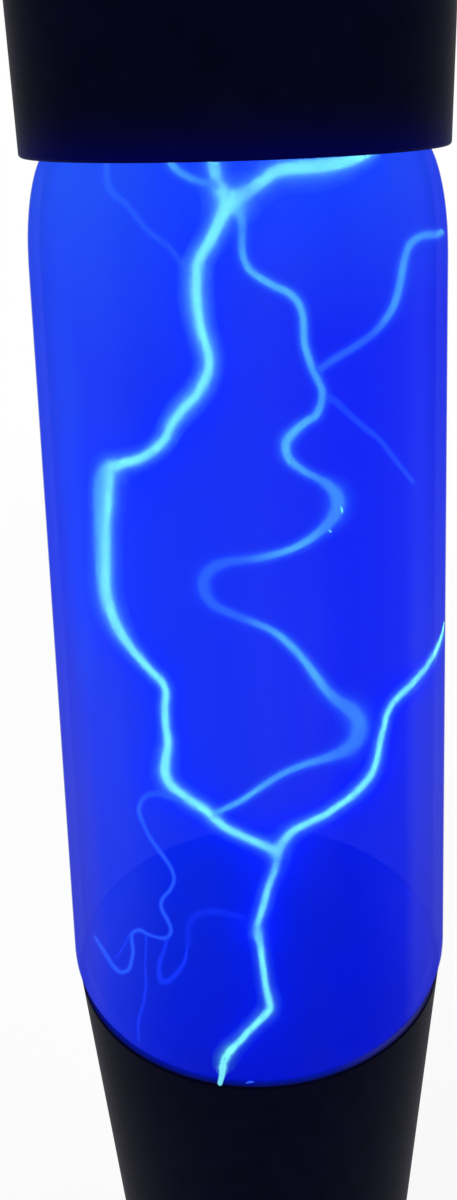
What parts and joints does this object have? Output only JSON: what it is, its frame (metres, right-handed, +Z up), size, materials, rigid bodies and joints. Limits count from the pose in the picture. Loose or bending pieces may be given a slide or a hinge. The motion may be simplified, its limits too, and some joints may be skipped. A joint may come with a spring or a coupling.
{
  "type": "plasma lamp",
  "caption": "Tall plasma lamp: a sealed blue glass tube held between a waisted black base and a rounded black cap, with an inlet and slide switch at the back.",
  "frame": {"origin": "centre of the ground under the lamp, level with the undersides of the rubber feet", "axes": "+Z up along the glass tube, +Y towards the inlet and switch at the back, -Y towards the viewer in the picture"},
  "size_m": [0.094, 0.094, 0.3524],
  "materials": {
    "shell_plastic": "satin",
    "blue_glass": "clear, tinted blue",
    "seal_rubber": "soft",
    "feet_rubber": "soft",
    "foam": "foamed",
    "steel": "zinc plated",
    "dark_steel": "black oxide",
    "nickel": "nickel plated",
    "aluminium": "extruded",
    "foil": "rolled",
    "board": "solder mask",
    "ferrite": "sintered",
    "coil_resin": "potted",
    "coil_tape": "taped",
    "capacitor_sleeve": "shrunk sleeve",
    "film_case": "dipped",
    "chip_epoxy": "moulded",
    "socket_plastic": "moulded",
    "jack_plastic": "moulded",
    "slider_plastic": "moulded",
    "wire_black": "insulation",
    "wire_red": "insulation"
  },
  "bodies": {
    "stand": {"glass_envelope": "blue_glass", "electrode": "steel", "cap_electrode": "foil", "glass_pad": "foam", "glass_seal": "seal_rubber", "neck_grommet": "seal_rubber", "neck_collar": "socket_plastic", "collar_screws": "steel", "base_cup": "shell_plastic", "base_foot": "shell_plastic", "waist_screws": "steel", "bottom_plate": "shell_plastic", "plate_screws": "dark_steel", "rubber_feet": "feet_rubber", "circuit_board": "board", "board_screws": "steel", "transformer_core": "ferrite", "high_voltage_coil": "coil_resin", "primary_coil": "coil_tape", "heat_sink": "aluminium", "power_transistor": "chip_epoxy", "transistor_screw": "steel", "smoothing_capacitors": "capacitor_sleeve", "film_capacitor": "film_case", "driver_chip": "chip_epoxy", "microphone": "nickel", "dc_jack": "jack_plastic", "jack_pin": "nickel", "jack_tag": "nickel", "jack_nut": "nickel", "switch_can": "steel", "switch_base": "socket_plastic", "switch_pins": "nickel", "switch_screws": "dark_steel", "jack_leads": "wire_red", "switch_leads": "wire_black", "high_voltage_lead": "wire_red", "electrode_boot": "seal_rubber", "cap_shell": "shell_plastic", "cap_pad": "foam", "cap_seal": "seal_rubber"},
    "slider": {"switch_slider": "slider_plastic"}
  },
  "joints": [
    {"name": "switch_slide", "type": "slide", "parent": "stand", "child": "slider", "axis": [1, 0, 0], "range_m": [-0.002, 0.002]}
  ]
}
